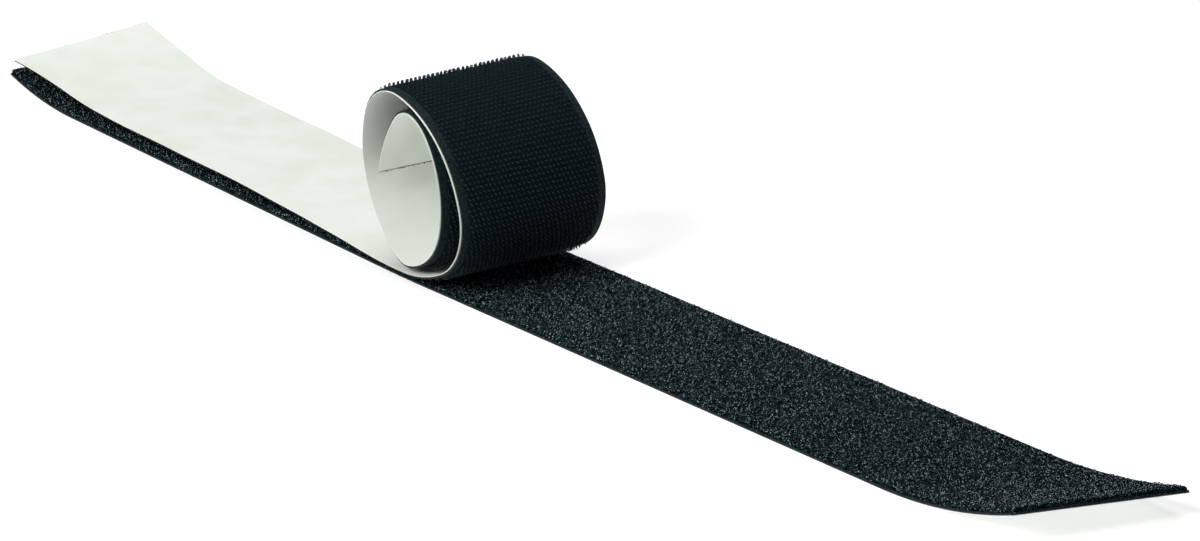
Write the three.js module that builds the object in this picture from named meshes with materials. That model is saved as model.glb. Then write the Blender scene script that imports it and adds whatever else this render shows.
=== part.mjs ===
// A pair of self-adhesive hook and loop tapes, in millimetres, +Z up.
// The loop tape lies flat, pile up. The hook tape lies on it, hooks down, and its right half is wound up.
// Both tapes are laminates: paper liner, adhesive, back coating, woven ground, and hooks or pile.
import * as THREE from "three";

// Tape stock
const tapeWidth = 50;
const linerThickness = 0.1;
const adhesiveThickness = 0.12;
const coatingThickness = 0.08;
const weaveThickness = 0.4;
const pileHeight = 1.5;
const pileInset = 0.5;
const pileShoulderWidth = 0.5;
const hookRootThickness = 0.45;
const hookHeight = 0.8;
const hookSelvedgeWidth = 2.5;
const laminationGap = 0.03;

// Loop tape: both ends curl up, and the right end is cut and curled at a slant
const loopTapeLength = 503.4;
const loopLeftCurlRadius = 163;
const loopLeftCurlDegrees = 14;
const loopRightCurlRadius = 166;
const loopRightCurlDegrees = 18.3;
const loopRightCornerReach = 11;
const loopSlantLength = 75;
const loopRightCornerDrop = 1.8;
const loopDriftSlope = 0.039;

// Hook tape: how it lies on the loop tape, from its free left end to the roll
const hookFlatLength = 238.2;
const hookTailLength = 36;
const hookCurlRadius = 170;
const hookCurlDegrees = 6.7;
const hookLiftHeight = 1.7;
const hookSettleDegrees = 2.3;
const hookContactLength = 8;
const hookFarCornerRise = 4.2;
const hookRiseLength = 38;
const hookDriftSlope = 0.0574;
const driftEaseLength = 10;
const hookEndInset = 2.6;
const rollOverhang = 3.9;
const hookToPileClearance = 0.05;
const peelLineFromRoll = 60;
const peelGap = 0.3;

// Roll: a chain of tangent arcs that follows the liner, each a radius and the turn it makes
const rollRadius = 26;
const windingGap = 0.5;
const rollRadiusShares = [1.7, 0.67, 1.47, 0.61, 0.5, 1.12, null, 0.36, 0.7, null, 0.57, 0.29, 1.5];
const rollDegrees = [25, 80, 65, 25, 55, 30, 45, 45, 70, 50, 30, 70, 30];
const landingIndex = 6;
const nestingIndex = 9;
const nestingDegrees = 155;

// Hooks on the roll's outer turn: a sample of the real rows, staggered, turned left and right by rows
const hookColumns = 12;
const hookRows = 32;
const hookStrandRadius = 0.42;
const hookTipShare = 0.8;
const hookShoulderShare = 0.6;
const hookNoseHeightShare = 0.62;
const hookReachShare = 0.95;
const hookStaggerShare = 0.22;

// Steps of the surfaces along the tape
const curlStepLength = 8;
const twistStepLength = 2.4;
const straightStepLength = 20;
const rollStepLength = 5;
const rollStepDegrees = 15;
const gapSampleLength = 1;
const sameTurnLength = 52;

// Layer depths, each measured from the tape's liner face
function stackOf(layers) {
  const depths = {};
  let depth = 0;
  for (const [name, thickness] of layers) {
    depths[name] = { from: depth, to: depth + thickness };
    depth += thickness + laminationGap;
  }
  depths.total = depth - laminationGap;
  return depths;
}

const loopStack = stackOf([
  ["liner", linerThickness],
  ["adhesive", adhesiveThickness],
  ["coating", coatingThickness],
  ["weave", weaveThickness],
  ["pile", pileHeight],
]);
const hookStack = stackOf([
  ["liner", linerThickness],
  ["adhesive", adhesiveThickness],
  ["coating", coatingThickness],
  ["weave", weaveThickness],
  ["hooks", hookRootThickness + hookHeight],
]);

// A path in the XZ plane is a chain of straight runs and tangent arcs.
const radians = THREE.MathUtils.degToRad;
const run = (length) => ({ length, turn: 0 });
const arc = (radius, turn) => ({ length: radius * radians(Math.abs(turn)), turn: radians(turn) });
const lengthOf = (path) => path.reduce((sum, piece) => sum + piece.length, 0);
const turnOf = (path) => path.reduce((sum, piece) => sum + piece.turn, 0);

// The point and heading at a distance along a path that starts at 0, 0 with the given heading
function walk(path, startHeading, distance) {
  let x = 0;
  let z = 0;
  let heading = startHeading;
  let left = distance;
  for (const [index, piece] of path.entries()) {
    const last = index === path.length - 1;
    const step = last ? left : Math.min(left, piece.length);
    const bend = piece.length > 0 ? (piece.turn * step) / piece.length : 0;
    const chord = Math.abs(bend) > 0 ? (step * Math.sin(bend / 2)) / (bend / 2) : step;
    x += chord * Math.cos(heading + bend / 2);
    z += chord * Math.sin(heading + bend / 2);
    heading += bend;
    left -= step;
    if (left <= 0) break;
  }
  return { x, z, heading };
}

// The loop tape's path runs along the underside of its liner.
const loopLeftCurl = arc(loopLeftCurlRadius, loopLeftCurlDegrees);
const loopRightCurl = arc(loopRightCurlRadius, loopRightCurlDegrees);
const loopStraight = loopTapeLength - loopLeftCurl.length - loopRightCurl.length;
const loopPath = [loopLeftCurl, run(loopStraight), loopRightCurl];
const loopStartHeading = -loopLeftCurl.turn;
const loopFloorPoint = walk(loopPath, loopStartHeading, loopLeftCurl.length);

// The roll's arcs. Two radii are solved, so that the inner turn lands on the strip below it
// and nests under the outer turn's right flank, each one tape thickness and one gap away.
const fullTurnDegrees = 360;
const turnSpacing = hookStack.total + windingGap;
const startDegrees = rollDegrees.map((_, index) => rollDegrees.slice(0, index).reduce((a, b) => a + b, 0));

// The shift along a direction that a unit of each arc's radius gives, from one tangent turn to another
function shiftFactor(index, fromTurn, toTurn, dirX, dirZ) {
  const low = radians(Math.min(Math.max(startDegrees[index], fromTurn), toTurn));
  const high = radians(Math.max(Math.min(startDegrees[index] + rollDegrees[index], toTurn), fromTurn));
  return dirX * (Math.sin(high) - Math.sin(low)) + dirZ * (Math.cos(low) - Math.cos(high));
}

function solveRadius(radii, unknown, fromTurn, toTurn, dirX, dirZ, wanted) {
  let rest = wanted;
  radii.forEach((radius, index) => {
    if (index === unknown || radius === null) return;
    rest -= radius * shiftFactor(index, fromTurn, toTurn, dirX, dirZ);
  });
  return rest / shiftFactor(unknown, fromTurn, toTurn, dirX, dirZ);
}

const rollRadii = rollRadiusShares.map((share) => (share === null ? null : share * rollRadius));
rollRadii[landingIndex] = solveRadius(rollRadii, landingIndex, 0, fullTurnDegrees, 0, 1, turnSpacing);
const nestingX = -Math.sin(radians(nestingDegrees));
const nestingZ = Math.cos(radians(nestingDegrees));
rollRadii[nestingIndex] = solveRadius(
  rollRadii, nestingIndex, nestingDegrees, nestingDegrees + fullTurnDegrees, nestingX, nestingZ, turnSpacing,
);
const rollPath = rollRadii.map((radius, index) => arc(radius, rollDegrees[index]));

// The hook tape's path runs along its liner's free face, from the left end to the end inside the roll.
const hookCurl = arc(hookCurlRadius, hookCurlDegrees);
const hookSettleRadius = hookLiftHeight / (radians(hookSettleDegrees) * radians(hookSettleDegrees));
const hookSettleDown = arc(hookSettleRadius, -hookSettleDegrees);
const hookSettleOut = arc(hookSettleRadius, hookSettleDegrees);
const hookLay = hookFlatLength - hookTailLength - hookCurl.length - hookContactLength
  - hookSettleDown.length - hookSettleOut.length;
const hookFlatPath = [
  run(hookTailLength), hookCurl, run(hookLay), hookSettleDown, hookSettleOut, run(hookContactLength),
];
const hookPath = [...hookFlatPath, ...rollPath];
const hookStartHeading = -turnOf(hookFlatPath);
const hookLength = lengthOf(hookPath);
const contactPoint = walk(hookPath, hookStartHeading, hookFlatLength);

// Where the roll touches the loop tape, with X measured from the loop tape's left end
const contactX = hookEndInset + contactPoint.x;
const contactZ = loopStack.total + hookToPileClearance + hookStack.total;

// Sideways drift of a tape's near edge, left of the roll
function driftAt(x, slope) {
  const past = Math.max(0, contactX - x);
  return slope * (Math.hypot(past, driftEaseLength) - driftEaseLength);
}

const rampUp = (value, from, to) => THREE.MathUtils.clamp((value - from) / (to - from), 0, 1);

// A station is a line across the tape: where its near end lies, which way the layers stack,
// and how far the line leans along X and Z for each millimetre across.
function loopStation(distance) {
  const at = walk(loopPath, loopStartHeading, distance);
  const slantEnd = loopTapeLength - loopRightCurl.length;
  const slant = rampUp(distance, slantEnd - loopSlantLength, slantEnd);
  const twist = rampUp(distance, slantEnd, loopTapeLength) ** 2;
  return {
    distance,
    x: at.x,
    y: driftAt(at.x, loopDriftSlope),
    z: at.z - loopFloorPoint.z,
    stackX: -Math.sin(at.heading),
    stackZ: Math.cos(at.heading),
    leanX: (slant * loopRightCornerReach) / tapeWidth,
    leanZ: (-twist * loopRightCornerDrop) / tapeWidth,
  };
}

function hookStation(distance) {
  const at = walk(hookPath, hookStartHeading, distance);
  const x = at.x - contactPoint.x + contactX;
  const onFlat = distance < hookFlatLength;
  const twist = (1 - rampUp(distance, 0, hookRiseLength)) ** 2;
  return {
    distance,
    x,
    y: (onFlat ? driftAt(x, hookDriftSlope) : 0) - rollOverhang,
    z: at.z - contactPoint.z + contactZ - (twist * hookFarCornerRise) / 2,
    stackX: Math.sin(at.heading),
    stackZ: -Math.cos(at.heading),
    leanX: 0,
    leanZ: (twist * hookFarCornerRise) / tapeWidth,
  };
}

// The point of a station at a distance across the tape and a depth into its layers
function pointOf(station, across, depth) {
  return new THREE.Vector3(
    station.x + station.stackX * depth + station.leanX * across,
    station.y + across,
    station.z + station.stackZ * depth + station.leanZ * across,
  );
}

// Distances from one to another in equal steps no longer than the one given
function steps(from, to, step) {
  const count = Math.max(1, Math.round((to - from) / step));
  return Array.from({ length: count + 1 }, (_, index) => from + ((to - from) * index) / count);
}

function chainSteps(stops) {
  const distances = [stops[0][0]];
  for (let index = 1; index < stops.length; index++) {
    distances.push(...steps(stops[index - 1][0], stops[index][0], stops[index][1]).slice(1));
  }
  return distances;
}

const loopStations = chainSteps([
  [0, curlStepLength],
  [loopLeftCurl.length, curlStepLength],
  [loopLeftCurl.length + loopStraight, straightStepLength],
  [loopTapeLength, curlStepLength],
]).map(loopStation);

const hookTailEnd = hookTailLength + hookCurl.length;
const peelDistance = hookFlatLength - peelLineFromRoll;
const flatStations = chainSteps([
  [0, curlStepLength],
  [hookRiseLength, twistStepLength],
  [hookTailEnd, curlStepLength],
  [peelDistance - peelGap / 2, straightStepLength],
]).map(hookStation);
const rollStops = rollPath.map((piece, index) => {
  const end = hookFlatLength + lengthOf(rollPath.slice(0, index + 1));
  return [end, Math.min(rollStepLength, (piece.length * radians(rollStepDegrees)) / piece.turn)];
});
const rollStations = chainSteps([
  [peelDistance + peelGap / 2, curlStepLength],
  [hookFlatLength, curlStepLength],
  ...rollStops,
]).map(hookStation);

// A body's points and triangles, turned face out and made into a geometry
class Shell {
  constructor() {
    this.points = [];
    this.triangles = [];
  }

  point(position) {
    this.points.push(position);
    return this.points.length - 1;
  }

  quad(a, b, c, d) {
    this.triangles.push([a, b, c], [a, c, d]);
  }

  fan(ring) {
    for (let index = 1; index + 1 < ring.length; index++) {
      this.triangles.push([ring[0], ring[index], ring[index + 1]]);
    }
  }

  volume() {
    return this.triangles.reduce((sum, [a, b, c]) => {
      const cross = new THREE.Vector3().crossVectors(this.points[b], this.points[c]);
      return sum + this.points[a].dot(cross) / 6;
    }, 0);
  }

  geometry() {
    const inside = this.volume() < 0;
    const index = this.triangles.flatMap(([a, b, c]) => (inside ? [a, c, b] : [a, b, c]));
    const geometry = new THREE.BufferGeometry().setFromPoints(this.points);
    geometry.setIndex(index);
    geometry.computeVertexNormals();
    return geometry;
  }
}

// A layer of the tape: one outline of across and depth pairs, carried from station to station.
// Each face is split from its near edge to the next station's far edge, so that layers lie parallel.
function layerSolid(stations, outline) {
  const shell = new Shell();
  const rings = stations.map((station) =>
    outline.map(([across, depth]) => shell.point(pointOf(station, across, depth))));
  for (let index = 1; index < rings.length; index++) {
    const [a, b] = [rings[index - 1], rings[index]];
    outline.forEach(([across], side) => {
      const next = (side + 1) % outline.length;
      if (outline[next][0] >= across) shell.quad(a[side], a[next], b[next], b[side]);
      else shell.quad(a[next], b[next], b[side], a[side]);
    });
  }
  shell.fan([...rings[0]].reverse());
  shell.fan(rings[rings.length - 1]);
  return shell.geometry();
}

const fullWidth = (depths) => [
  [0, depths.from],
  [tapeWidth, depths.from],
  [tapeWidth, depths.to],
  [0, depths.to],
];

const pileOutline = (depths) => [
  [pileInset, depths.from],
  [tapeWidth - pileInset, depths.from],
  [tapeWidth - pileInset, depths.to - pileShoulderWidth],
  [tapeWidth - pileInset - pileShoulderWidth, depths.to],
  [pileInset + pileShoulderWidth, depths.to],
  [pileInset, depths.to - pileShoulderWidth],
];

const hookBlockOutline = (depths) => [
  [hookSelvedgeWidth, depths.from],
  [tapeWidth - hookSelvedgeWidth, depths.from],
  [tapeWidth - hookSelvedgeWidth, depths.to],
  [hookSelvedgeWidth, depths.to],
];

// One hook: a three-sided strand that stands on its cell and bends over to one side
function addHook(shell, cell, side) {
  const [q0, q1, q2, q3] = cell.map((index) => shell.points[index]);
  const along = new THREE.Vector3().addVectors(q2, q3).sub(q0).sub(q1).normalize();
  const across = new THREE.Vector3().addVectors(q1, q2).sub(q0).sub(q3);
  const columnWidth = across.length() / 2;
  across.normalize();
  const out = new THREE.Vector3().crossVectors(along, across).normalize();
  const foot = new THREE.Vector3().add(q0).add(q1).add(q2).add(q3).multiplyScalar(1 / 4);
  foot.addScaledVector(across, -side * columnWidth * hookStaggerShare);

  const ring = (height, reach, radius, lean) => {
    const centre = foot.clone().addScaledVector(out, height).addScaledVector(across, side * reach);
    const sideways = across.clone().multiplyScalar(Math.cos(lean)).addScaledVector(out, -side * Math.sin(lean));
    return [0, 1, 2].map((corner) => {
      const angle = (corner * 2 * Math.PI) / 3;
      const position = centre.clone()
        .addScaledVector(along, radius * Math.cos(angle))
        .addScaledVector(sideways, radius * Math.sin(angle));
      return shell.point(position);
    });
  };
  const tipRadius = hookStrandRadius * hookTipShare;
  const rings = [
    ring(0, 0, hookStrandRadius, 0),
    ring(hookHeight * hookShoulderShare, 0, hookStrandRadius, Math.PI / 4),
    ring(hookHeight * hookNoseHeightShare, hookHeight * hookReachShare, tipRadius, Math.PI / 2),
  ];

  const [p0, p1, p2] = rings[0];
  const [c0, c1, c2, c3] = cell;
  shell.triangles.push([c0, c1, p1], [c0, p1, p2], [c1, c2, p0], [c1, p0, p1]);
  shell.triangles.push([c2, c3, p0], [c3, p2, p0], [c3, c0, p2]);
  for (let level = 0; level + 1 < rings.length; level++) {
    const [low, high] = [rings[level], rings[level + 1]];
    for (const [a, b] of [[1, 2], [0, 1], [2, 0]]) shell.quad(low[b], low[a], high[a], high[b]);
  }
  const top = rings[rings.length - 1];
  shell.triangles.push([top[2], top[1], top[0]]);
}

// The roll's hook field: a full-height block where hooks press on the tape below them,
// and on the open outer turn a thin root with separate hooks.
function hookFieldSolid(stations, depths) {
  const shell = new Shell();
  const [near, far] = [hookSelvedgeWidth, tapeWidth - hookSelvedgeWidth];
  const rootDepth = depths.from + hookRootThickness;
  const firstRow = stations.findIndex((station) => station.distance >= hookFlatLength) + 1;
  const lastRow = Math.min(firstRow + hookRows, stations.length - 2);
  const isOpen = (index) => index >= firstRow && index <= lastRow;

  const lines = stations.map((station, index) => {
    const depth = isOpen(index) ? rootDepth : depths.to;
    const count = isOpen(index) ? hookColumns : 1;
    const outer = Array.from({ length: count + 1 }, (_, column) =>
      shell.point(pointOf(station, near + ((far - near) * column) / count, depth)));
    const inner = [near, far].map((across) => shell.point(pointOf(station, across, depths.from)));
    return { outer, inner };
  });

  for (let index = 1; index < lines.length; index++) {
    const [a, b] = [lines[index - 1], lines[index]];
    const [aFar, bFar] = [a.outer.length - 1, b.outer.length - 1];
    shell.quad(a.inner[0], b.inner[0], b.inner[1], a.inner[1]);
    shell.quad(a.inner[0], a.outer[0], b.outer[0], b.inner[0]);
    shell.quad(a.outer[aFar], a.inner[1], b.inner[1], b.outer[bFar]);
    if (isOpen(index - 1) && isOpen(index)) {
      for (let column = 0; column < hookColumns; column++) {
        const cell = [a.outer[column], a.outer[column + 1], b.outer[column + 1], b.outer[column]];
        addHook(shell, cell, index % 2 === 0 ? 1 : -1);
      }
    } else {
      shell.fan([a.outer[0], ...a.outer.slice(1), ...[...b.outer].reverse()]);
    }
  }
  for (const [line, flip] of [[lines[0], false], [lines[lines.length - 1], true]]) {
    const ring = [...line.inner, ...[...line.outer].reverse()];
    shell.fan(flip ? ring.reverse() : ring);
  }
  return shell.geometry();
}

// Colours, read off the object
const paper = new THREE.MeshStandardMaterial({ color: 0xe9eee6, roughness: 0.62, metalness: 0 });
const glue = new THREE.MeshStandardMaterial({ color: 0xd8d6c8, roughness: 0.3, metalness: 0 });
const coating = new THREE.MeshStandardMaterial({ color: 0x33383a, roughness: 0.55, metalness: 0 });
const weave = new THREE.MeshStandardMaterial({ color: 0x15191a, roughness: 0.85, metalness: 0 });
const pile = new THREE.MeshStandardMaterial({ color: 0x262c2f, roughness: 0.95, metalness: 0 });
const hooks = new THREE.MeshStandardMaterial({ color: 0x101516, roughness: 0.45, metalness: 0 });

const group = new THREE.Group();

function add(name, geometry, material) {
  const mesh = new THREE.Mesh(geometry, material.clone());
  mesh.name = name;
  group.add(mesh);
}

function buildLoopTape() {
  add("loop_release_liner", layerSolid(loopStations, fullWidth(loopStack.liner)), paper);
  add("loop_adhesive", layerSolid(loopStations, fullWidth(loopStack.adhesive)), glue);
  add("loop_back_coating", layerSolid(loopStations, fullWidth(loopStack.coating)), coating);
  add("loop_ground_weave", layerSolid(loopStations, fullWidth(loopStack.weave)), weave);
  add("loop_pile", layerSolid(loopStations, pileOutline(loopStack.pile)), pile);
}

function buildHookTape(part, stations, hookField) {
  add(`hook_liner_${part}`, layerSolid(stations, fullWidth(hookStack.liner)), paper);
  add(`hook_adhesive_${part}`, layerSolid(stations, fullWidth(hookStack.adhesive)), glue);
  add(`hook_back_coating_${part}`, layerSolid(stations, fullWidth(hookStack.coating)), coating);
  add(`hook_ground_weave_${part}`, layerSolid(stations, fullWidth(hookStack.weave)), weave);
  add(`hook_field_${part}`, hookField, hooks);
}

// The least gap between one turn's hook tips and the liner face of the turns and strip around it
function leastTurnGap() {
  const distances = steps(hookFlatLength, hookLength, gapSampleLength);
  const below = steps(peelDistance, hookLength, gapSampleLength).map(hookStation);
  let least = Infinity;
  for (const distance of distances) {
    const tip = pointOf(hookStation(distance), 0, hookStack.total);
    for (const other of below) {
      if (Math.abs(other.distance - distance) < sameTurnLength) continue;
      least = Math.min(least, Math.hypot(other.x - tip.x, other.z - tip.z));
    }
  }
  return least;
}

buildLoopTape();
buildHookTape("flat", flatStations, layerSolid(flatStations, hookBlockOutline(hookStack.hooks)));
buildHookTape("roll", rollStations, hookFieldSolid(rollStations, hookStack.hooks));

// The origin is under the middle of the whole pair, on the surface that it lies on.
const box = new THREE.Box3().setFromObject(group);
const middle = box.getCenter(new THREE.Vector3());
group.position.set(-middle.x, -middle.y, -box.min.z);

console.log(`Hook tape ${hookLength.toFixed(1)} mm long`);
console.log(`Least gap of the winding to itself ${leastTurnGap().toFixed(2)} mm`);

export default group;
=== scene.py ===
# %% [markdown]
# A hook and loop tape pair in Blender. The loop tape lies flat with its black pile up. The hook tape
# lies on it with its paper liner up, and its right half is wound into a loose roll with the hooks
# outside. This lesson dresses a fixed frame that holds every layer at its real size. Each layer of tape
# is one long strip that follows a path, and what repeats on a strip, the hooks and the pile's fibres, is
# made by Geometry Nodes.

# %% Load the frame and keep its box
import math
import random

import bmesh
import bpy
import numpy as np
from mathutils import Matrix, Vector


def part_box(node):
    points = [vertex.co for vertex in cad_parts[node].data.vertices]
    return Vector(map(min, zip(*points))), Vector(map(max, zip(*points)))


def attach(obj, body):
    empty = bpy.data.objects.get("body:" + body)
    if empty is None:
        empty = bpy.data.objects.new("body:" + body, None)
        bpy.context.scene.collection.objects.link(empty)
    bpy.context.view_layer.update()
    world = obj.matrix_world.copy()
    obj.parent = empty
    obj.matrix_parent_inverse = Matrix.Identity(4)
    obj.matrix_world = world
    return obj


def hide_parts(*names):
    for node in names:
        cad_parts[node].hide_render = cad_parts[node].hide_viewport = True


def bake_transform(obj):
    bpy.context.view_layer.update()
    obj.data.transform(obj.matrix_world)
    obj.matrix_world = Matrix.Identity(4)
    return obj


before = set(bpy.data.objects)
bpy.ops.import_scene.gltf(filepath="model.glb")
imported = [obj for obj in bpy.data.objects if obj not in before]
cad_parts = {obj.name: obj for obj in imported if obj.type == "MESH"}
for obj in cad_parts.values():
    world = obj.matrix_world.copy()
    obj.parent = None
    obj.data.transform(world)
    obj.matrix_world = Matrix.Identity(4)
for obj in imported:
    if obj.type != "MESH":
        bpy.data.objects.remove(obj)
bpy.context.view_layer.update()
MM = 0.001

# %% [markdown]
# The camera stands low and far off, about 53 degrees round from the tapes' length and 18 degrees up. A
# long lens keeps the strip's edges nearly parallel, as they are in the photograph. Its place was worked
# out from the tapes' edges and from both ends of the roll.

# %% Camera
camera_place = Vector((1199.546, -870.916, 493.21)) * MM
round_angle, down_angle = math.radians(53.19), math.radians(18.31)
photo_width_px, focal_px, sensor_mm = 1200, 5410.94, 36

to_right = Vector((math.cos(round_angle), math.sin(round_angle), 0))
level_ahead = Vector((-math.sin(round_angle), math.cos(round_angle), 0))
ahead = level_ahead * math.cos(down_angle) - Vector((0, 0, math.sin(down_angle)))
upwards = to_right.cross(ahead)
camera_data = bpy.data.cameras.new("Camera")
camera_data.sensor_width = sensor_mm
camera_data.lens = sensor_mm * focal_px / photo_width_px
camera = bpy.data.objects.new("Camera", camera_data)
camera.matrix_world = Matrix.Translation(camera_place) @ Matrix(
    (to_right, upwards, -ahead)).transposed().to_4x4()
bpy.context.scene.collection.objects.link(camera)
bpy.context.scene.camera = camera
print("Lens:", round(camera_data.lens, 1), "mm")

# %% [markdown]
# The light is soft. One large panel hangs overhead and shapes the roll, and a second one high in front
# reaches into the roll's bore and lifts the hooks' tips. The world adds a little light from everywhere.

# %% Light


def add_panel(name, place_mm, aim_mm, size_mm, watts):
    """One square softbox that looks at a point."""
    light = bpy.data.lights.new(name, "AREA")
    light.size = size_mm * MM
    light.energy = watts
    panel = bpy.data.objects.new(name, light)
    place, aim = Vector(place_mm) * MM, Vector(aim_mm) * MM
    turned = (place - aim).to_track_quat("Z", "Y").to_matrix().to_4x4()
    panel.matrix_world = Matrix.Translation(place) @ turned
    bpy.context.scene.collection.objects.link(panel)


add_panel("overhead", (-260, 100, 900), (-40, 0, 0), size_mm=700, watts=4.7)
add_panel("high_front", (110, -900, 670), (0, 0, 0), size_mm=600, watts=14.5)
world = bpy.data.worlds.new("Studio")
bpy.context.scene.world = world
world.use_nodes = True
surround = world.node_tree.nodes["Background"].inputs
surround["Color"].default_value = (0.97, 1.0, 0.99, 1)
surround["Strength"].default_value = 0.17
bpy.context.scene.view_settings.view_transform = "Standard"

# %% [markdown]
# Shader maths reads best as plain expressions. A small class wraps a socket, so that an expression such
# as speck * 9 - 4.8 adds the Math nodes it needs. Every other node comes from one method of the
# material's builder.

# %% A shader kit


class Link:
    """A node's output socket, with Python's operators."""

    def __init__(self, shade, socket):
        self.shade, self.socket = shade, socket

    def math(self, operation, *others):
        """One Math node with this socket as its first input."""
        inputs = dict(enumerate((self, *others)))
        return self.shade.node("ShaderNodeMath", {"operation": operation}, inputs)

    def __add__(self, other):
        return self.math("ADD", other)

    def __sub__(self, other):
        return self.math("SUBTRACT", other)

    def __mul__(self, other):
        return self.math("MULTIPLY", other)

    __radd__, __rmul__ = __add__, __mul__

    def clamp(self):
        """Keeps the value between 0 and 1."""
        return self.math("MAXIMUM", 0).math("MINIMUM", 1)


class Shade:
    """Builds one material around a Principled shader."""

    def __init__(self, name, roughness, **fixed):
        self.material = bpy.data.materials.new(name)
        self.material.use_nodes = True
        self.tree = self.material.node_tree
        self.shader = self.tree.nodes["Principled BSDF"]
        self.shader.inputs["Roughness"].default_value = roughness
        for socket, value in fixed.items():
            self.shader.inputs[socket.replace("_", " ")].default_value = value

    def node(self, kind, settings, inputs, output=0):
        """Adds a node, sets or links its inputs, and gives back one output."""
        made = self.tree.nodes.new(kind)
        for name, value in settings.items():
            setattr(made, name, value)
        for name, value in inputs.items():
            if isinstance(value, Link):
                self.tree.links.new(value.socket, made.inputs[name])
            else:
                made.inputs[name].default_value = value
        return Link(self, made.outputs[output])

    def feed(self, socket, value):
        """Sets or links one input of the Principled shader."""
        if isinstance(value, Link):
            self.tree.links.new(value.socket, self.shader.inputs[socket])
        else:
            self.shader.inputs[socket].default_value = value

    def place(self):
        """Where the shaded point lies on its piece."""
        return self.node("ShaderNodeTexCoord", {}, {}, output="Object")

    def along_across(self):
        """The strip's own map in millimetres: along the tape, and across it from the near edge."""
        both = self.node("ShaderNodeUVMap", {"uv_map": "tape"}, {})
        parts = self.tree.nodes.new("ShaderNodeSeparateXYZ")
        self.tree.links.new(both.socket, parts.inputs[0])
        return Link(self, parts.outputs[0]) * (1 / MM), Link(self, parts.outputs[1]) * (1 / MM)

    def noise(self, size_mm, detail=2):
        """Soft noise whose blobs are about this large."""
        return self.node("ShaderNodeTexNoise", {}, {
            "Vector": self.place(), "Scale": 1 / (size_mm * MM), "Detail": detail})

    def mix(self, share, first, second):
        """A colour between two, by a share from 0 to 1."""
        return self.node("ShaderNodeMix", {"data_type": "RGBA"}, {
            0: share, 6: (*first, 1), 7: (*second, 1)}, output=2)

    def bump(self, height, depth_mm, strength=1.0):
        """Puts a relief on the material, and gives back the finished material."""
        bumped = self.node("ShaderNodeBump", {}, {
            "Height": height, "Distance": depth_mm * MM, "Strength": strength})
        self.feed("Normal", bumped)
        return self.material


def srgb(r, g, b):
    """A screen colour from 0 to 255 as linear light."""
    return tuple((c / 255 / 12.92 if c < 11 else ((c / 255 + 0.055) / 1.055) ** 2.4) for c in (r, g, b))


# %% [markdown]
# The surface that the tapes lie on is plain white and lit a little from below, as a product table is, so
# that hardly any shadow shows. It is wide enough for every view.

# %% Floor
floor_shade = Shade("white_table", 0.9, Specular_IOR_Level=0.0)
floor_shade.feed("Base Color", (*srgb(205, 205, 205), 1))
floor_shade.feed("Emission Color", (*srgb(255, 255, 255), 1))
floor_shade.feed("Emission Strength", 0.52)
floor_half = 3
floor_corners = [(x * floor_half, y * floor_half, 0) for x, y in ((-1, -1), (1, -1), (1, 1), (-1, 1))]
floor_mesh = bpy.data.meshes.new("floor")
floor_mesh.from_pydata(floor_corners, [], [(0, 1, 2, 3)])
floor = bpy.data.objects.new("floor", floor_mesh)
floor.data.materials.append(floor_shade.material)
bpy.context.scene.collection.objects.link(floor)
print("Floor:", 2 * floor_half, "m square")

# %% [markdown]
# A tape is a laminate. From its liner's free face inwards come paper, adhesive, a back coating that
# locks the weave, the woven ground, and then pile or hooks. These are the real thicknesses in
# millimetres, each layer a hair away from the next.

# %% Tape stock
tape_width = 50
layer_gap = 0.03
loop_layers = {"liner": 0.1, "adhesive": 0.12, "coating": 0.08, "weave": 0.4, "pile": 1.5}
hook_layers = {"liner": 0.1, "adhesive": 0.12, "coating": 0.08, "weave": 0.4, "hooks": 1.25}
hook_selvedge = 2.5
hook_root = 0.2


def depths_of(layers):
    """Where each layer starts and ends, counted from the liner's free face."""
    found, depth = {}, 0
    for name, thickness in layers.items():
        found[name] = (depth, depth + thickness)
        depth += thickness + layer_gap
    return found, depth - layer_gap


loop_depths, loop_total = depths_of(loop_layers)
hook_depths, hook_total = depths_of(hook_layers)
print("Loop tape", round(loop_total, 2), "mm thick, hook tape", round(hook_total, 2), "mm")

# %% [markdown]
# Seen from the side, each tape is a chain of straight runs and tangent arcs, such as a strip of card
# makes when it is curled. Walking along the chain gives the point and heading at any distance. The roll
# is thirteen arcs that unwind from where it touches the loop tape to the cut end inside.

# %% Paths


def run(length):
    """A straight run, as a length and a turn."""
    return (length, 0.0)


def arc(radius, degrees):
    """A tangent arc, as a length and a turn. More than 0 degrees turns up."""
    return (radius * math.radians(abs(degrees)), math.radians(degrees))


def length_of(path):
    """How long the tape is along its path."""
    return sum(length for length, _ in path)


def walk(path, heading, distance):
    """The x, z and heading after a distance along the path."""
    x = z = 0.0
    left = distance
    for index, (length, turn) in enumerate(path):
        step = left if index == len(path) - 1 else min(left, length)
        bend = turn * step / length if length > 0 else 0.0
        chord = step * math.sin(bend / 2) / (bend / 2) if abs(bend) > 1e-9 else step
        x += chord * math.cos(heading + bend / 2)
        z += chord * math.sin(heading + bend / 2)
        heading += bend
        left -= step
        if left <= 0:
            break
    return x, z, heading


loop_length = 503.4
loop_left_radius, loop_left_degrees = 163, 14
loop_right_radius, loop_right_degrees = 166, 18.3
loop_left_curl = arc(loop_left_radius, loop_left_degrees)
loop_right_curl = arc(loop_right_radius, loop_right_degrees)
loop_straight = loop_length - loop_left_curl[0] - loop_right_curl[0]
loop_path = [loop_left_curl, run(loop_straight), loop_right_curl]
loop_heading = -loop_left_curl[1]
loop_floor_z = walk(loop_path, loop_heading, loop_left_curl[0])[1]

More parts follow.
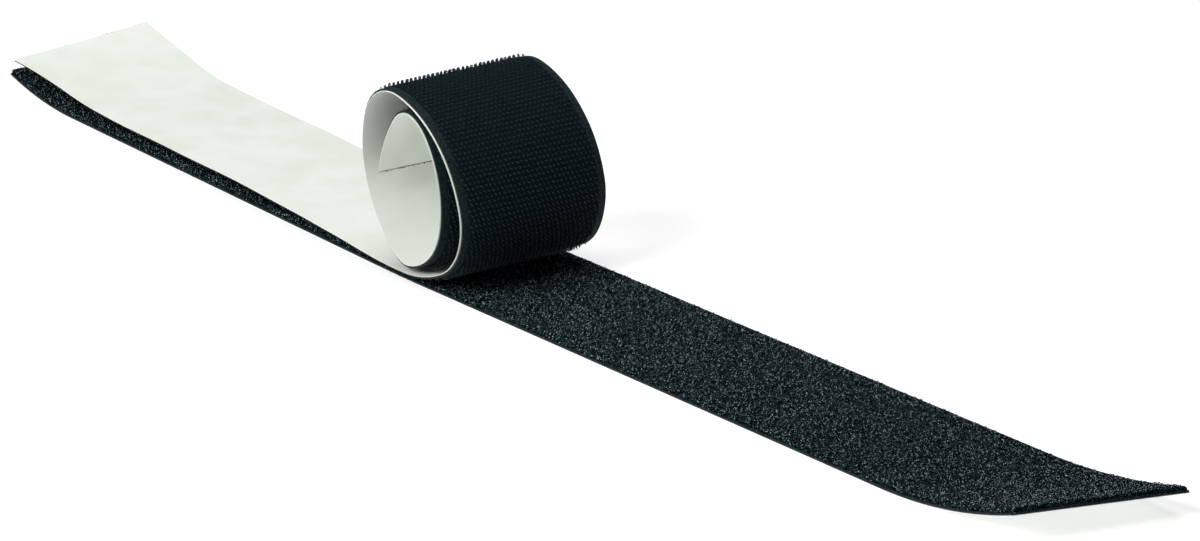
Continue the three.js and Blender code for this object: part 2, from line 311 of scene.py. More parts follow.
roll_radius, winding_gap = 26, 0.5
roll_shares = [1.7, 0.67, 1.47, 0.61, 0.5, 1.12, None, 0.36, 0.7, None, 0.57, 0.29, 1.5]
roll_degrees = [25, 80, 65, 25, 55, 30, 45, 45, 70, 50, 30, 70, 30]
landing_index, nesting_index = 6, 9
nesting_degrees = 155


def solve_radius(radii, unknown, first, last, dir_x, dir_z, wanted):
    """The radius of one arc that moves the path by the wanted distance between two headings."""
    start, rest, unit = 0, wanted, 0
    for index, (radius, degrees) in enumerate(zip(radii, roll_degrees)):
        low = math.radians(min(max(start, first), last))
        high = math.radians(max(min(start + degrees, last), first))
        factor = dir_x * (math.sin(high) - math.sin(low)) + dir_z * (math.cos(low) - math.cos(high))
        start += degrees
        if index == unknown:
            unit = factor
        elif radius is not None:
            rest -= radius * factor
    return rest / unit


roll_radii = [None if share is None else share * roll_radius for share in roll_shares]
roll_radii[landing_index] = solve_radius(roll_radii, landing_index, 0, 360, 0, 1, hook_total + winding_gap)
nesting_turn = math.radians(nesting_degrees)
roll_radii[nesting_index] = solve_radius(
    roll_radii, nesting_index, nesting_degrees, nesting_degrees + 360,
    -math.sin(nesting_turn), math.cos(nesting_turn), hook_total + winding_gap)
roll_path = [arc(radius, degrees) for radius, degrees in zip(roll_radii, roll_degrees)]

flat_length, tail_length, contact_length = 238.2, 36, 8
hook_lift, settle_degrees = 1.7, 2.3
hook_curl_radius, hook_curl_degrees = 170, 6.7
hook_end_inset, tape_gap = 2.6, 0.05
hook_curl = arc(hook_curl_radius, hook_curl_degrees)
settle_radius = hook_lift / math.radians(settle_degrees) ** 2
settle_down, settle_out = arc(settle_radius, -settle_degrees), arc(settle_radius, settle_degrees)
lay_length = flat_length - tail_length - hook_curl[0] - contact_length - 2 * settle_down[0]
flat_path = [run(tail_length), hook_curl, run(lay_length), settle_down, settle_out, run(contact_length)]
hook_path = flat_path + roll_path
hook_length = length_of(hook_path)
hook_heading = -sum(turn for _, turn in flat_path)
contact_point = walk(hook_path, hook_heading, flat_length)
contact_x = hook_end_inset + contact_point[0]
contact_z = loop_total + tape_gap + hook_total
print("Loop tape", loop_length, "mm long at its near edge, hook tape", round(hook_length, 1), "mm")

# %% [markdown]
# A station is a line across a tape: where its near end lies, which way the layers stack, and how far the
# line leans. The tapes aren't laid quite straight, and their cut ends twist a little, so the stations
# drift and lean towards the ends. Hand-laid tape is never perfectly flat either, so a slow ripple lifts
# the hook tape by a fraction of a millimetre, and its near edge and cut end stand a little high. The
# frame is centred, and its lowest corner is where the loop tape's path starts.

# %% Stations
frame_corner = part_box("loop_release_liner")[0] / MM
loop_drift_slope, hook_drift_slope, drift_round = 0.039, 0.0574, 10
hook_near_edge = -3.9
slant_run, slant_reach, right_end_drop = 75, 11, 1.8
twist_run, near_end_drop, far_end_rise = 38, 2.1, 4.2
flare_height, flare_starts, flare_fades = 1.5, (70, 130), (150, 270)
ripple_height, ripple_middle, ripple_fades = 0.13, 0.35, (flat_length - 70, flat_length - 15)
long_wave, short_wave, short_height, short_phase = (17, 31), (7.3, 19), 0.6, 1.3
high_edge_height, high_edge_fades = 0.9, (flat_length - 40, flat_length - 8)
near_end_height, end_height_gain, high_end_fades = 0.35, 0.85, (15, 80)


def ramp(value, start, end):
    """0 before the start, 1 after the end, and a straight line between."""
    return min(max((value - start) / (end - start), 0.0), 1.0)


def eased(value, start, end):
    """The same with soft corners."""
    share = ramp(value, start, end)
    return share * share * (3 - 2 * share)


def drift(x, slope):
    """How far the tape strays sideways, left of where the roll touches down."""
    past = max(0.0, contact_x - x)
    return slope * (math.hypot(past, drift_round) - drift_round)


def loop_station(distance):
    """Near end's x, y, z, the stack's direction in x and z, and the lean in x and z."""
    x, z, heading = walk(loop_path, loop_heading, distance)
    slant_end = loop_length - loop_right_curl[0]
    lean_x = ramp(distance, slant_end - slant_run, slant_end) * slant_reach / tape_width
    lean_z = -ramp(distance, slant_end, loop_length) ** 2 * right_end_drop / tape_width
    y = drift(x, loop_drift_slope)
    return (x, y, z - loop_floor_z, -math.sin(heading), math.cos(heading), lean_x, lean_z)


def hook_station(distance):
    """The same for the hook tape, whose far edge flares over the roll's upper half."""
    x, z, heading = walk(hook_path, hook_heading, distance)
    x += contact_x - contact_point[0]
    z += contact_z - contact_point[1]
    on_flat = distance < flat_length
    y = (drift(x, hook_drift_slope) if on_flat else 0.0) + hook_near_edge
    twist = (1 - ramp(distance, 0, twist_run)) ** 2
    turned = 0 if on_flat else math.degrees(heading)
    flare = flare_height * eased(turned, *flare_starts) * (1 - eased(turned, *flare_fades)) / tape_width
    stack_x, stack_z = math.sin(heading), -math.cos(heading)
    lean_z = twist * far_end_rise / tape_width + flare * stack_z
    return (x, y, z - twist * near_end_drop, stack_x, stack_z, flare * stack_x, lean_z)


def ripple(distance, across, is_hook):
    """A slow unevenness of the hook tape, which dies out towards the roll. Its near edge and its cut end
    stand a little high."""
    if not is_hook:
        return 0.0
    wave = math.sin(distance / long_wave[0] + across / long_wave[1])
    wave += short_height * math.sin(distance / short_wave[0] - across / short_wave[1] + short_phase)
    calm = 1 - ramp(distance, *ripple_fades)
    edge = ripple_middle + (1 - ripple_middle) * abs(across / tape_width - 0.5) * 2
    high_edge = high_edge_height * (1 - eased(distance, *high_edge_fades)) * (1 - across / tape_width) ** 2
    high_end = near_end_height + end_height_gain * across / tape_width
    high_end *= 1 - eased(distance, *high_end_fades)
    return ripple_height * calm * wave * edge + high_edge + high_end


def tape_point(is_hook, distance, across, depth):
    """A point of a tape in metres, in the frame, from its distance along, across and into the layers."""
    x, y, z, stack_x, stack_z, lean_x, lean_z = (hook_station if is_hook else loop_station)(distance)
    lift = ripple(distance, across, is_hook)
    return Vector((
        x + stack_x * depth + lean_x * across + frame_corner.x,
        y + across + frame_corner.y,
        z + stack_z * depth + lean_z * across + lift + frame_corner.z,
    )) * MM


def stops_between(first, last, step):
    """Even stops from first to last, about one step apart."""
    count = max(1, round((last - first) / step))
    return [first + (last - first) * index / count for index in range(count + 1)]


print("The roll touches down at x =", round(contact_x + frame_corner.x, 1), "mm")

# %% [markdown]
# Every layer is the same kind of body: a flat ring of points across the tape, repeated from station to
# station and closed at both ends. The strip carries its own map, distance along it and across it, so
# that a weave or a grain follows the tape round the roll. Edges sharper than 40 degrees stay crisp.

# %% Strip maker
crisp_degrees = 40


def strip_mesh(name, is_hook, distances, ring, material, end_shift=None):
    """A closed strip. ring holds pairs of across and depth, and end_shift moves a cut end in or out."""
    points, faces, marks = [], [], []
    count = len(ring)
    last = len(distances) - 1
    for row, distance in enumerate(distances):
        for across, depth in ring:
            moved = distance
            if end_shift and row in (0, last):
                moved += end_shift(row == last, across)
            points.append(tape_point(is_hook, moved, across, depth))
            marks.append((distance * MM, across * MM))
    for row in range(last):
        for side in range(count):
            near, far = row * count + side, row * count + (side + 1) % count
            faces.append((near, far, far + count, near + count))
    faces.append(tuple(reversed(range(count))))
    faces.append(tuple(last * count + side for side in range(count)))
    mesh = bpy.data.meshes.new(name)
    mesh.from_pydata(points, [], faces)
    layer = mesh.uv_layers.new(name="tape")
    for loop in mesh.loops:
        layer.data[loop.index].uv = marks[loop.vertex_index]
    mesh.materials.append(material)
    mesh.shade_smooth()
    mesh.set_sharp_from_angle(angle=math.radians(crisp_degrees))
    piece = bpy.data.objects.new(name, mesh)
    bpy.context.scene.collection.objects.link(piece)
    turn_faces_out(piece)
    return piece


def turn_faces_out(piece):
    """Recalculates the faces' directions of a closed piece."""
    work = bmesh.new()
    work.from_mesh(piece.data)
    bmesh.ops.recalc_face_normals(work, faces=work.faces)
    work.to_mesh(piece.data)
    work.free()


def slab_ring(span, start, end, columns=10):
    """A plain slab's outline, with enough columns for the ripple to show."""
    stops = stops_between(span[0], span[1], (span[1] - span[0]) / columns)
    return [(across, start) for across in stops] + [(across, end) for across in reversed(stops)]


whole_width, fine_columns = (0, tape_width), 20
lying_step, roll_step = 3, 1.2
loop_distances = stops_between(0, loop_length, lying_step)
hook_distances = stops_between(0, flat_length, lying_step)
hook_distances += stops_between(flat_length, hook_length, roll_step)[1:]
print("Stations:", len(loop_distances), "on the loop tape,", len(hook_distances), "on the hook tape")

# %% [markdown]
# The release liner is thin paper with a silicone face. It is a faintly green white, slightly clouded,
# with a fine grain and a soft gloss. Paper is cut with scissors, so its ends wander by a few tenths of a
# millimetre. The hook tape's liner is a little wider than the tape, so its edge shows as a bright line
# round the roll.

# %% Paper
paper = Shade("release_paper", 0.55, Specular_IOR_Level=0.35)
cloud = paper.noise(14, 3)
paper_tone = paper.mix(((cloud - 0.35) * 3.3).clamp(), srgb(214, 219, 209), srgb(221, 226, 220))
paper.feed("Base Color", paper_tone)
release_paper = paper.bump(paper.noise(0.35) + paper.noise(3.5) * 2, 0.02, 0.5)

cut_rng = random.Random(7)
cut_wobble = [cut_rng.uniform(-1, 1) for _ in range(64)]
cut_waves, second_cut_place, wobble_reach = 20, 30, 0.14
start_inset, end_inset = 0.1, 0.3
near_overhang, far_overhang = 0.45, 0.25


def scissor_cut(is_end, across):
    """How far a cut end of the paper is moved along the tape, at one place across it."""
    share_across = min(max(across, 0), tape_width) / tape_width
    place = share_across * cut_waves + (second_cut_place if is_end else 0)
    index = int(place)
    share = place - index
    wobble = wobble_reach * (cut_wobble[index] * (1 - share) + cut_wobble[index + 1] * share)
    return wobble - end_inset if is_end else wobble + start_inset


paper_width = (-near_overhang, tape_width + far_overhang)
loop_paper = strip_mesh("loop_liner_paper", False, loop_distances,
                        slab_ring(whole_width, *loop_depths["liner"]), release_paper)
hook_paper = strip_mesh("hook_liner_paper", True, hook_distances,
                        slab_ring(paper_width, *hook_depths["liner"], fine_columns),
                        release_paper, scissor_cut)
print("Liners:", len(loop_paper.data.polygons), "and", len(hook_paper.data.polygons), "faces")

# %% [markdown]
# Adhesive and back coating show only as hair lines at the tape's edges. The adhesive is a clear film
# that looks dark against the black weave, and the coating is a dull dark binder.

# %% Films
glue_shade = Shade("adhesive_film", 0.25, Coat_Weight=0.3)
glue_tone = glue_shade.mix(glue_shade.noise(2).clamp(), srgb(60, 66, 62), srgb(92, 98, 92))
glue_shade.feed("Base Color", glue_tone)
adhesive_film = glue_shade.bump(glue_shade.noise(0.8), 0.01)
coat_shade = Shade("back_coating", 0.6, Specular_IOR_Level=0.1)
coat_tone = coat_shade.mix(coat_shade.noise(1.5).clamp(), srgb(14, 20, 22), srgb(30, 38, 40))
coat_shade.feed("Base Color", coat_tone)
back_coating = coat_shade.bump(coat_shade.noise(0.5), 0.02)

loop_glue = strip_mesh("loop_adhesive_film", False, loop_distances,
                       slab_ring(whole_width, *loop_depths["adhesive"]), adhesive_film)
hook_glue = strip_mesh("hook_adhesive_film", True, hook_distances,
                       slab_ring(whole_width, *hook_depths["adhesive"]), adhesive_film)
loop_coat = strip_mesh("loop_coating_film", False, loop_distances,
                       slab_ring(whole_width, *loop_depths["coating"]), back_coating)
hook_coat = strip_mesh("hook_coating_film", True, hook_distances,
                       slab_ring(whole_width, *hook_depths["coating"]), back_coating)
print("Films:", [film.name for film in (loop_glue, hook_glue, loop_coat, hook_coat)])

# %% [markdown]
# The ground is a close narrow weave. Weft threads run across the tape and show as fine ribs on the bare
# selvedges beside the hooks, with thin warp threads crossing them. Bump from two wave patterns in the
# strip's own map is enough at this scale, and it follows the tape round the roll.

# %% Woven ground
weft_pitch, warp_pitch = 0.62, 0.45
weave_shade = Shade("woven_ground", 0.62, Specular_IOR_Level=0.1)
along, across = weave_shade.along_across()
rib = (along * (2 * math.pi / weft_pitch)).math("SINE")
warp = (across * (2 * math.pi / warp_pitch)).math("SINE")
thread = rib * (0.7 + 0.3 * warp) * 0.5 + 0.5
fuzz = (weave_shade.noise(0.45, 1) * 6 - 2.6).clamp()
weave_tone = weave_shade.mix((thread * 0.35 + fuzz * 0.65).clamp(), srgb(1, 4, 5), srgb(34, 50, 53))
weave_shade.feed("Base Color", weave_tone)
woven_ground = weave_shade.bump(thread * 0.7 + fuzz * 0.3, 0.14)

loop_ground = strip_mesh("loop_ground", False, loop_distances,
                         slab_ring(whole_width, *loop_depths["weave"]), woven_ground)
hook_ground = strip_mesh("hook_ground", True, hook_distances,
                         slab_ring(whole_width, *hook_depths["weave"], fine_columns), woven_ground)
print("Woven grounds:", len(loop_ground.data.polygons), "and", len(hook_ground.data.polygons), "faces")

# %% [markdown]
# Hooks and pile fibres repeat by the thousand, which is work for Geometry Nodes. A small class builds
# the trees. A strand is one bent Bezier segment with a three-sided section, and a copy of it goes on
# every point. What comes out is kept as a plain mesh, so the model doesn't depend on the trees.

# %% A Geometry Nodes kit


class Tree:
    """Builds one Geometry Nodes tree with named inputs."""

    def __init__(self, name, inputs):
        self.tree = bpy.data.node_groups.new(name, "GeometryNodeTree")
        face = self.tree.interface
        face.new_socket("Geometry", in_out="INPUT", socket_type="NodeSocketGeometry")
        self.keys = {}
        for label, (kind, value) in inputs.items():
            socket = face.new_socket(label, in_out="INPUT", socket_type=kind)
            socket.default_value = value
            self.keys[label] = socket.identifier
        face.new_socket("Geometry", in_out="OUTPUT", socket_type="NodeSocketGeometry")
        self.given = self.tree.nodes.new("NodeGroupInput")
        self.result = self.tree.nodes.new("NodeGroupOutput")

    def node(self, kind, settings, inputs, output=0):
        """Adds a node, sets or links its inputs, and gives back one output."""
        made = self.tree.nodes.new(kind)
        for name, value in settings.items():
            setattr(made, name, value)
        for name, value in inputs.items():
            if hasattr(value, "is_output"):
                self.tree.links.new(value, made.inputs[name])
            else:
                made.inputs[name].default_value = value
        return made.outputs[output]

    def size(self, label):
        """One of the tree's named inputs."""
        return self.given.outputs[label]

    def times(self, first, second):
        return self.node("ShaderNodeMath", {"operation": "MULTIPLY"}, {0: first, 1: second})

    def corner(self, x=0.0, y=0.0, z=0.0):
        return self.node("ShaderNodeCombineXYZ", {}, {0: x, 1: y, 2: z})

    def chance(self, low, high):
        """A random number for each point."""
        return self.node("FunctionNodeRandomValue", {"data_type": "FLOAT"}, {
            2: low, 3: high, "Seed": self.size("Seed")}, output=1)

    def carried(self, label):
        """A direction that the points carry."""
        return self.node("GeometryNodeInputNamedAttribute", {"data_type": "FLOAT_VECTOR"}, {"Name": label})

    def strand(self, steps, start, start_handle, end_handle, end, capped=False):
        """A bent strand with a three-sided section."""
        line = self.node("GeometryNodeCurvePrimitiveBezierSegment", {}, {
            "Resolution": steps, "Start": start, "Start Handle": start_handle,
            "End Handle": end_handle, "End": end})
        section = self.node("GeometryNodeCurvePrimitiveCircle", {}, {
            "Resolution": 3, "Radius": self.size("Strand radius")})
        return self.node("GeometryNodeCurveToMesh", {}, {
            "Curve": line, "Profile Curve": section, "Fill Caps": capped})

    def copies(self, points, strand, facing, turn, smallest, largest):
        """A copy of the strand on each point, turned from the way it faces, each of its own size."""
        turned = self.node("FunctionNodeRotateRotation", {"rotation_space": "LOCAL"}, {0: facing, 1: turn})
        scale = self.chance(smallest, largest)
        return self.node("GeometryNodeInstanceOnPoints", {}, {
            "Points": points, "Instance": strand, "Rotation": turned,
            "Scale": self.corner(scale, scale, scale)})

    def finish(self, geometry, material):
        """Ends the tree in real, finished geometry."""
        real = self.node("GeometryNodeRealizeInstances", {}, {0: geometry})
        smooth = self.node("GeometryNodeSetShadeSmooth", {}, {0: real})
        dressed = self.node("GeometryNodeSetMaterial", {}, {"Geometry": smooth, "Material": material})
        self.tree.links.new(dressed, self.result.inputs[0])


def grow(piece_name, source_mesh, tree, sizes):
    """Runs the tree on a mesh and keeps the result as a plain mesh."""
    carrier = bpy.data.objects.new(piece_name + "_source", source_mesh)
    bpy.context.scene.collection.objects.link(carrier)
    modifier = carrier.modifiers.new("grow", "NODES")
    modifier.node_group = tree.tree
    for label, value in sizes.items():
        modifier[tree.keys[label]] = value
    bpy.context.view_layer.update()
    grown = bpy.data.meshes.new_from_object(carrier.evaluated_get(bpy.context.evaluated_depsgraph_get()))
    bpy.data.objects.remove(carrier)
    piece = bpy.data.objects.new(piece_name, grown)
    grown.name = piece_name
    bpy.context.scene.collection.objects.link(piece)
    print(piece_name, sum(len(face.vertices) - 2 for face in grown.polygons), "triangles")
    return piece


# %% [markdown]
# A hook is a cut loop of stiff black nylon. It stands on the ground, bends over and ends in mid-air. Its
# Z axis follows the way out of the tape and its X axis the way it leans, and each seat carries both. No
# two hooks stand quite alike, so each is turned, tipped and scaled a little.

# %% The hook tree
hook_shade = Shade("hook_nylon", 0.42, Specular_IOR_Level=0.26)
tint = hook_shade.noise(0.4, 1)
hook_shade.feed("Base Color", hook_shade.mix((tint * 3 - 1).clamp(), srgb(6, 16, 19), srgb(26, 44, 49)))
hook_nylon = hook_shade.bump(hook_shade.noise(0.15), 0.01)

hook_yaw, hook_tip, smallest_hook, largest_hook = 0.35, 0.2, 0.86, 1.08
hook_tree = Tree("hooks", {
    "Height": ("NodeSocketFloat", 0.001), "Reach": ("NodeSocketFloat", 0.0008),
    "Strand radius": ("NodeSocketFloat", 0.0001), "Seed": ("NodeSocketInt", 3)})
height, reach = hook_tree.size("Height"), hook_tree.size("Reach")
one_hook = hook_tree.strand(
    6,
    start=hook_tree.corner(),
    start_handle=hook_tree.corner(x=hook_tree.times(reach, -0.6), z=hook_tree.times(height, 1.28)),
    end_handle=hook_tree.corner(x=hook_tree.times(reach, 2.0), z=hook_tree.times(height, 1.28)),
    end=hook_tree.corner(x=hook_tree.times(reach, 0.45), z=hook_tree.times(height, 0.35)),
    capped=True)
hook_facing = hook_tree.node("FunctionNodeAxesToRotation", {"primary_axis": "Z", "secondary_axis": "X"}, {
    0: hook_tree.carried("out"), 1: hook_tree.carried("lean")})
hook_turn = hook_tree.corner(
    x=hook_tree.chance(-hook_tip, hook_tip), z=hook_tree.chance(-hook_yaw, hook_yaw))
hooks_set = hook_tree.copies(
    hook_tree.size("Geometry"), one_hook, hook_facing, hook_turn, smallest_hook, largest_hook)
hook_tree.finish(hooks_set, hook_nylon)
print("Hook tree:", len(hook_tree.tree.nodes), "nodes")

# %% [markdown]
# The seats are loose points in rows across the tape. Each row is shifted by two thirds of a column
# against the row before it, so that the hooks stand in slanting lines, and every seat is moved a little
# at random.

# %% Seats for the hooks
column_pitch, row_pitch, row_offset_share = 1.52, 1.45, 0.663
seat_margin, seat_play = 0.25, 0.13
lean_across, lean_back = 0.4, 0.8


def seat_mesh(name, places, outs, leans):
    """Loose points that carry the way out and the way to lean."""
    mesh = bpy.data.meshes.new(name + "_seats")
    mesh.from_pydata(places, [], [])
    for label, vectors in (("out", outs), ("lean", leans)):
        attribute = mesh.attributes.new(label, "FLOAT_VECTOR", "POINT")
        attribute.data.foreach_set("vector", np.array(vectors, np.float32).ravel())
    return mesh


def hook_seats(name, first, last):
    """Staggered seats on the ground between two distances, as loose points with directions."""
    places, outs, leans = [], [], []
    columns = int((tape_width - 2 * hook_selvedge - 2 * seat_margin) / column_pitch) + 1
    spare = (tape_width - (columns - 1) * column_pitch) / 2
    foot = hook_depths["weave"][1] - layer_gap
    nudge = np.random.default_rng(8)
    for row, distance in enumerate(stops_between(first, last, row_pitch)):
        _, _, _, stack_x, stack_z, _, _ = hook_station(distance)
        out = Vector((stack_x, 0, stack_z))
        along = Vector((-stack_z, 0, stack_x))
        shift = ((row * row_offset_share) % 1 - 0.5) * column_pitch
        for column in range(columns):
            off_row, off_column = nudge.uniform(-seat_play, seat_play, 2)
            across = spare + column * column_pitch + shift + off_column
            places.append(tape_point(True, distance + off_row, across, foot))
            outs.append(out)
            leans.append(Vector((0, lean_across, 0)) - along * lean_back)
    return seat_mesh(name, places, outs, leans)


peel_reach, first_row, last_row_inset = 60, 1.2, 1
peel_distance = flat_length - peel_reach
outer_end = flat_length + length_of(roll_path[:landing_index + 1])
flat_seats = hook_seats("flat", first_row, peel_distance)
outer_seats = hook_seats("outer", peel_distance + row_pitch, outer_end)
inner_seats = hook_seats("inner", outer_end + row_pitch, hook_length - last_row_inset)
hook_sizes = {"Height": 1.06 * MM, "Reach": 0.72 * MM, "Strand radius": 0.14 * MM, "Seed": 3}
flat_hooks = grow("flat_hooks", flat_seats, hook_tree, hook_sizes)
outer_hooks = grow("outer_turn_hooks", outer_seats, hook_tree, hook_sizes)
inner_hooks = grow("inner_turn_hooks", inner_seats, hook_tree, hook_sizes)

# %% [markdown]
# Where the tape was cut across, threads of the weave stand out of the cut by a few tenths of a
# millimetre. The same tree grows them: thin short strands, seated along the cut, that point out of it
# instead of up.

# %% Frayed cuts
fray_sizes = {"Height": 0.8 * MM, "Reach": 0.4 * MM, "Strand radius": 0.08 * MM, "Seed": 5}
fray_rng = random.Random(21)
least_back, most_back, thread_splay = 0.1, 0.7, 0.5
thread_side_inset, thread_face_inset = 0.3, 0.05


def fray_seats(name, is_hook, end, outwards, count):
    """Loose points along one cut, each with the way out of the cut and a random lean."""
    places, outs, leans = [], [], []
    top, bottom = (hook_depths if is_hook else loop_depths)["weave"]
    _, _, _, stack_x, stack_z, _, _ = (hook_station if is_hook else loop_station)(end)
    along = Vector((-stack_z, 0, stack_x)) * (1 if is_hook else -1) * outwards
    for _ in range(count):
        back = fray_rng.uniform(least_back, most_back)
        across = fray_rng.uniform(thread_side_inset, tape_width - thread_side_inset)
        depth = fray_rng.uniform(top + thread_face_inset, bottom - thread_face_inset)
        places.append(tape_point(is_hook, end - back * outwards, across, depth))
        outs.append((along + Vector((0, fray_rng.uniform(-thread_splay, thread_splay), 0))).normalized())
        leans.append(Vector((fray_rng.uniform(-1, 1), fray_rng.uniform(-1, 1), fray_rng.uniform(-1, 1))))
    return seat_mesh(name, places, outs, leans)


def fray(name, is_hook, end, outwards, count):
    """The threads that stand out of one cut."""
    return grow(name, fray_seats(name, is_hook, end, outwards, count), hook_tree, fray_sizes)


flat_end_fray = fray("flat_end_fray", True, 0, -1, count=70)
roll_end_fray = fray("roll_end_fray", True, hook_length, 1, count=170)
loop_end_frays = [fray("loop_end_fray_left", False, 0, -1, count=60),
                  fray("loop_end_fray_right", False, loop_length, 1, count=60)]

# %% [markdown]
# Between the hooks' feet lies a low mat of cut stubs and pile yarn, which is why no weave shows there.

# %% Hook mat
mat_shade = Shade("hook_mat", 0.8, Specular_IOR_Level=0.04)
stub = mat_shade.noise(0.5, 3)
mat_shade.feed("Base Color", mat_shade.mix(stub.clamp(), srgb(5, 11, 13), srgb(20, 33, 37)))
mat_finish = mat_shade.bump(stub, 0.2)
mat_start = hook_depths["hooks"][0]
mat_span = (hook_selvedge, tape_width - hook_selvedge)
mat_ring = slab_ring(mat_span, mat_start, mat_start + hook_root, fine_columns)
hook_mat = strip_mesh("hook_mat", True, hook_distances, mat_ring, mat_finish)
print("Hook mat:", len(hook_mat.data.polygons), "faces")

# %% [markdown]
# The loop pile is a felted tangle of fine nylon loops. A rounded mat gives its body, and Geometry Nodes
# scatter thousands of small bent fibres over its face, each at its own turn, so that the edges look soft.
# The face sparkles where a fibre is painted pale, which is a painted glint.

# %% Pile mat
pile_shade = Shade("loop_pile", 0.9, Specular_IOR_Level=0.0)
tuft = pile_shade.noise(0.5)
speck = pile_shade.noise(0.3, 1)
pile_shade.feed("Base Color", pile_shade.mix((speck * 9 - 4.8).clamp(), srgb(0, 2, 3), srgb(50, 68, 71)))
pile_finish = pile_shade.bump(tuft + speck * 0.5, 0.4)

pile_start, pile_end = loop_depths["pile"]
fibre_room, pile_inset, pile_round, top_step = 0.35, 0.5, 0.5, 4
pile_top, far_side = pile_end - fibre_room, tape_width - pile_inset
top_stops = stops_between(pile_inset + pile_round, far_side - pile_round, top_step)
pile_ring = [(pile_inset, pile_start), (far_side, pile_start), (far_side, pile_top - pile_round)]
pile_ring += [(across, pile_top) for across in reversed(top_stops)]
pile_ring += [(pile_inset, pile_top - pile_round)]
pile_mat = strip_mesh("pile_mat", False, loop_distances, pile_ring, pile_finish)
print("Pile mat:", len(pile_mat.data.polygons), "faces")

# %% [markdown]
# A fibre is a low arch, bent a little sideways. The tree scatters points over a face, and each point
# gets one arch, spun right round and tilted at random. Only a few fibres are painted pale, as painted
# glints that give the pile its sparkle.

# %% The fibre tree
fibre_shade = Shade("pile_fibre", 0.5, Specular_IOR_Level=0.03)
# Painted glints: a noise picks a few fibres and paints them pale, in place of light glinting off them.
painted_glint = (fibre_shade.noise(0.3, 1) * 12 - 6.9).clamp()
fibre_shade.feed("Base Color", fibre_shade.mix(painted_glint, srgb(1, 4, 5), srgb(182, 206, 210)))

fibre_spin, fibre_tilt, smallest_fibre, largest_fibre = 6.28, 0.8, 0.6, 1.25
fibre_tree = Tree("pile_fibres", {
    "Spacing density": ("NodeSocketFloat", 1e6), "Height": ("NodeSocketFloat", 0.0005),
    "Span": ("NodeSocketFloat", 0.0012), "Strand radius": ("NodeSocketFloat", 0.00005),
    "Seed": ("NodeSocketInt", 11)})
span, rise = fibre_tree.size("Span"), fibre_tree.size("Height")
one_fibre = fibre_tree.strand(
    3,
    start=fibre_tree.corner(x=fibre_tree.times(span, -0.5), z=fibre_tree.times(rise, -0.5)),
    start_handle=fibre_tree.corner(x=fibre_tree.times(span, -0.6), z=fibre_tree.times(rise, 1.2)),
    end_handle=fibre_tree.corner(
        x=fibre_tree.times(span, 0.6), y=fibre_tree.times(span, 0.4), z=fibre_tree.times(rise, 1.2)),
    end=fibre_tree.corner(x=fibre_tree.times(span, 0.5), z=fibre_tree.times(rise, -0.5)))
scatter = fibre_tree.tree.nodes.new("GeometryNodeDistributePointsOnFaces")
for label, socket in (("Geometry", "Mesh"), ("Spacing density", "Density"), ("Seed", "Seed")):
    fibre_tree.tree.links.new(fibre_tree.size(label), scatter.inputs[socket])
fibre_turn = fibre_tree.corner(
    x=fibre_tree.chance(-fibre_tilt, fibre_tilt), z=fibre_tree.chance(0.0, fibre_spin))
fibres_set = fibre_tree.copies(
    scatter.outputs["Points"], one_fibre, scatter.outputs["Rotation"], fibre_turn,
    smallest_fibre, largest_fibre)
fibre_tree.finish(fibres_set, fibre_shade.material)
print("Fibre tree:", len(fibre_tree.tree.nodes), "nodes")

# %% [markdown]
# The fibres grow from the pile's upper face and from its rounded edge that the camera sees. They are
# made in four parts along the tape, so that no single piece gets heavy.

# %% Fibres over the pile
fibre_parts, first_fibre_seed = 4, 11
face_foot_lift, face_far_inset = 0.2, 1.3


def pile_face(name, first, last):
    """The pile's upper face between two distances, which the fibres are scattered on."""
    ring = [(pile_inset, pile_start + face_foot_lift), (pile_inset, pile_top - pile_round)]
    ring += [(across, pile_top) for across in top_stops[:-1]] + [(tape_width - face_far_inset, pile_top)]
    rows = stops_between(first, last, lying_step)
    points = [tape_point(False, distance, across, depth) for distance in rows for across, depth in ring]
    count = len(ring)
    corners = [row * count + side for row in range(len(rows) - 1) for side in range(count - 1)]
    faces = [(corner + count, corner + count + 1, corner + 1, corner) for corner in corners]
    mesh = bpy.data.meshes.new(name)
    mesh.from_pydata(points, [], faces)
    if mesh.polygons[0].normal.z < 0:
        mesh.flip_normals()
    return mesh


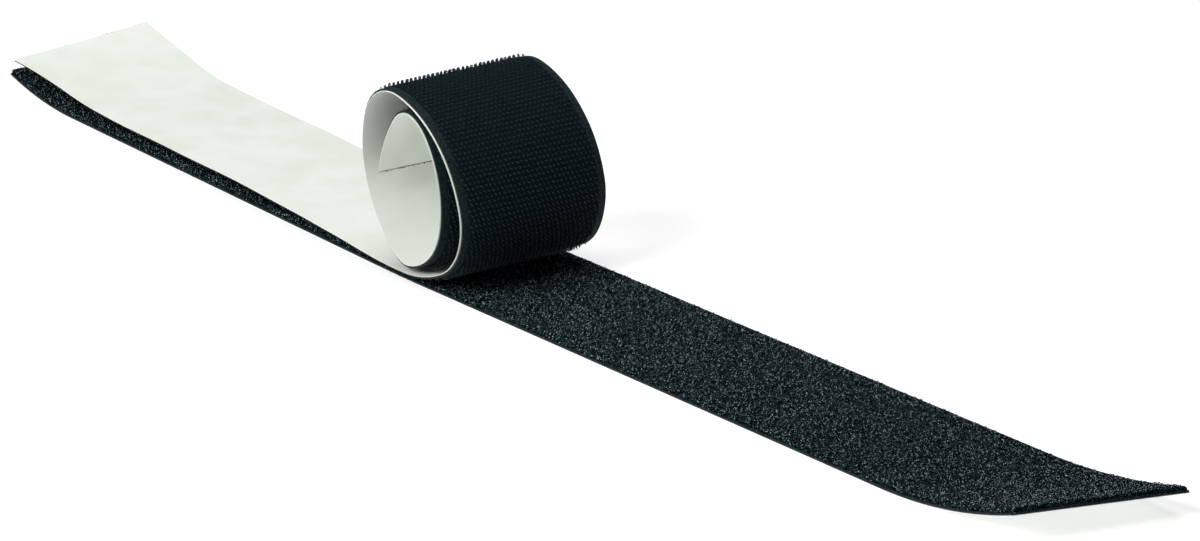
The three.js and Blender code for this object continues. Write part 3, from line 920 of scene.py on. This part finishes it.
fibre_sizes = {"Spacing density": 1.5e6, "Height": 0.5 * MM, "Span": 0.9 * MM, "Strand radius": 0.09 * MM}
fibre_pieces = []
for part in range(fibre_parts):
    stretch = (loop_length * part / fibre_parts, loop_length * (part + 1) / fibre_parts)
    face = pile_face(f"pile_face_{part + 1}", *stretch)
    part_sizes = {**fibre_sizes, "Seed": first_fibre_seed + part}
    fibre_pieces.append(grow(f"pile_fibres_{part + 1}", face, fibre_tree, part_sizes))

# %% [markdown]
# Each piece now takes the place of the plain layer in the frame, and a piece that one body carries rides
# on it. The hook tape's pieces that cross the line where the roll peels back have their place baked in
# and ride on no body.


def settle(piece, nodes, bodies):
    """One body carries the piece, and a piece between two bodies only has its place baked in."""
    if len(bodies) == 2:
        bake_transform(piece)
    else:
        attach(piece, bodies[0])
    if nodes:
        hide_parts(*nodes)


hook_bodies = ["hook_tape_flat", "hook_tape_roll"]
liner_bodies = ["hook_liner_flat", "hook_liner_roll"]
settle(loop_paper, ["loop_release_liner"], ["loop_liner"])
settle(loop_glue, ["loop_adhesive"], ["loop_tape"])
settle(loop_coat, ["loop_back_coating"], ["loop_tape"])
settle(loop_ground, ["loop_ground_weave"], ["loop_tape"])
settle(pile_mat, ["loop_pile"], ["loop_tape"])
for piece in fibre_pieces:
    settle(piece, [], ["loop_tape"])
settle(hook_paper, ["hook_liner_flat", "hook_liner_roll"], liner_bodies)
settle(hook_glue, ["hook_adhesive_flat", "hook_adhesive_roll"], hook_bodies)
settle(hook_coat, ["hook_back_coating_flat", "hook_back_coating_roll"], hook_bodies)
settle(hook_ground, ["hook_ground_weave_flat", "hook_ground_weave_roll"], hook_bodies)
settle(hook_mat, ["hook_field_flat", "hook_field_roll"], hook_bodies)
settle(flat_hooks, [], hook_bodies)
settle(outer_hooks, [], hook_bodies)
settle(inner_hooks, [], ["hook_tape_roll"])
settle(flat_end_fray, [], ["hook_tape_flat"])
settle(roll_end_fray, [], ["hook_tape_roll"])
for piece in loop_end_frays:
    settle(piece, [], ["loop_tape"])

# %% [markdown]
# The two woven grounds are cloth, and the wound one's cut length is printed. The loop
# tape's right end is cut at a slant, so its ground is longer along the middle than along the near edge.

hook_length * MM
print("The wound ground was cut", round(hook_length * MM, 3), "m long")
